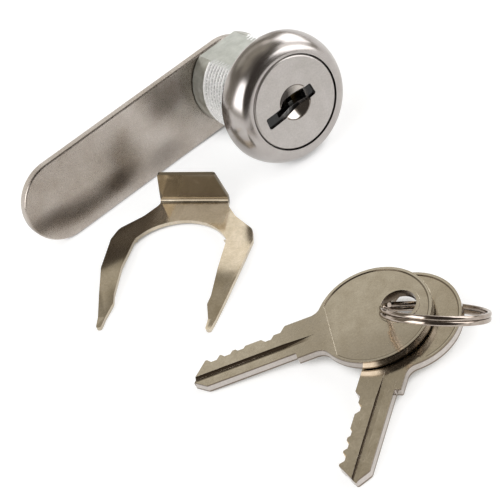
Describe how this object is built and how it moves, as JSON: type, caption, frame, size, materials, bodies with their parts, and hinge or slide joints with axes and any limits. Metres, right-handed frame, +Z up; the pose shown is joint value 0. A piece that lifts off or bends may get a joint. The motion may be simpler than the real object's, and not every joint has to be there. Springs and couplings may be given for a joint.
{
  "type": "dispenser cam lock",
  "caption": "Dispenser cam lock with round rim, keyed wafer plug and flat cam, laid out with its spring mounting clip and two keys on a split ring.",
  "frame": {"origin": "on the table under the middle of the whole laid-out set", "axes": "+Z up from the table; the cam points along -X and the lock's face looks along -Y, tipped up as the lock lies on its rim and cam"},
  "size_m": [0.0686, 0.0977, 0.0255],
  "materials": {
    "zinc": "cast, matt",
    "stainless": "satin polish",
    "rim_steel": "polished",
    "cam_steel": "satin nickel",
    "spring_steel": "bright nickel",
    "key_brass": "nickel plated",
    "wafer_brass": "plain",
    "ring_steel": "bright nickel",
    "black_insert": "moulded",
    "screw_steel": "zinc plated",
    "wire_steel": "spring wire"
  },
  "bodies": {
    "barrel": {"barrel": "zinc", "rim_cap": "rim_steel"},
    "plug": {"plug_core": "zinc", "plug_face": "stainless", "keyway_guide": "black_insert", "plug_retainer": "wafer_brass", "retainer_spring": "wire_steel", "stop_washer": "screw_steel", "cam": "cam_steel", "lock_washer": "screw_steel", "cam_screw": "screw_steel", "wafer_spring_1": "wire_steel", "wafer_spring_2": "wire_steel", "wafer_spring_3": "wire_steel", "wafer_spring_4": "wire_steel", "wafer_spring_5": "wire_steel"},
    "clip": {"mounting_clip": "spring_steel"},
    "ring": {"split_ring": "ring_steel"},
    "key_1": {"key_1": "key_brass"},
    "key_2": {"key_2": "key_brass"},
    "wafer_1": {"wafer_1": "wafer_brass"},
    "wafer_2": {"wafer_2": "wafer_brass"},
    "wafer_3": {"wafer_3": "wafer_brass"},
    "wafer_4": {"wafer_4": "wafer_brass"},
    "wafer_5": {"wafer_5": "wafer_brass"}
  },
  "joints": [
    {"name": "plug_turn", "type": "hinge", "parent": "barrel", "child": "plug", "pos_m": [0.02133, 0.02556, 0.01266], "axis": [0, -0.9703, 0.2418], "range_deg": [-90, 0]},
    {"name": "wafer_1_slide", "type": "slide", "parent": "plug", "child": "wafer_1", "axis": [-1, 0, 0], "range_m": [0, 0.0009]},
    {"name": "wafer_2_slide", "type": "slide", "parent": "plug", "child": "wafer_2", "axis": [-1, 0, 0], "range_m": [0, 0.0009]},
    {"name": "wafer_3_slide", "type": "slide", "parent": "plug", "child": "wafer_3", "axis": [-1, 0, 0], "range_m": [0, 0.0009]},
    {"name": "wafer_4_slide", "type": "slide", "parent": "plug", "child": "wafer_4", "axis": [-1, 0, 0], "range_m": [0, 0.0009]},
    {"name": "wafer_5_slide", "type": "slide", "parent": "plug", "child": "wafer_5", "axis": [-1, 0, 0], "range_m": [0, 0.0009]},
    {"name": "clip_lift", "type": "slide", "parent": "barrel", "child": "clip", "axis": [0, 0, 1], "range_m": [0, 0.04]},
    {"name": "keys_lift", "type": "slide", "parent": "barrel", "child": "ring", "axis": [0, 0, 1], "range_m": [0, 0.04]},
    {"name": "key_1_swing", "type": "hinge", "parent": "ring", "child": "key_1", "pos_m": [0.0031, -0.02769, 0.00529], "axis": [-0.0982, 0.0383, 0.9944], "range_deg": [-8, 25]},
    {"name": "key_2_swing", "type": "hinge", "parent": "ring", "child": "key_2", "pos_m": [0.0062, -0.02665, 0.00344], "axis": [-0.0982, 0.0383, 0.9944], "range_deg": [0, 30]}
  ]
}
